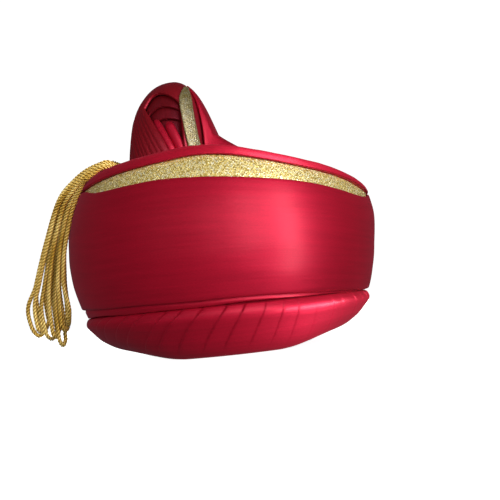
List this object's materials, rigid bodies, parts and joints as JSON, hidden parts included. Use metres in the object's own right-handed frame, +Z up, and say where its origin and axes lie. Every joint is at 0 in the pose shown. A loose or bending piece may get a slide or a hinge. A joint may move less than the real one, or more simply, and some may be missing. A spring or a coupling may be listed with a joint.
{
  "type": "tied turban",
  "caption": "Ready-tied satin turban: wide smooth band over a pleated base, gold lace border, rolled edge, hooded crest and a tassel of gold cords at one side",
  "frame": {"origin": "bottom centre of the box round the whole part, at the level of the rim's flat underside", "axes": "+X to the viewer's right of the front, where the tassel is on the -X side; the front faces -Y; +Z up out of the crown"},
  "size_m": [0.2846, 0.26, 0.219],
  "materials": {
    "satin": "red satin with a soft sheen",
    "satin_dark": "red satin in folds",
    "gold_lace": "woven metallic gold lace",
    "gold_cord": "twisted gold cord"
  },
  "bodies": {
    "root": {"pleated_base": "satin", "band_fold": "satin_dark", "outer_band": "satin", "gold_strip": "gold_lace", "rim_roll": "satin", "crown": "satin", "crest_hood": "satin", "crest_folds": "satin_dark", "crest_gold_strip": "gold_lace", "tassel": "gold_cord"}
  },
  "joints": []
}
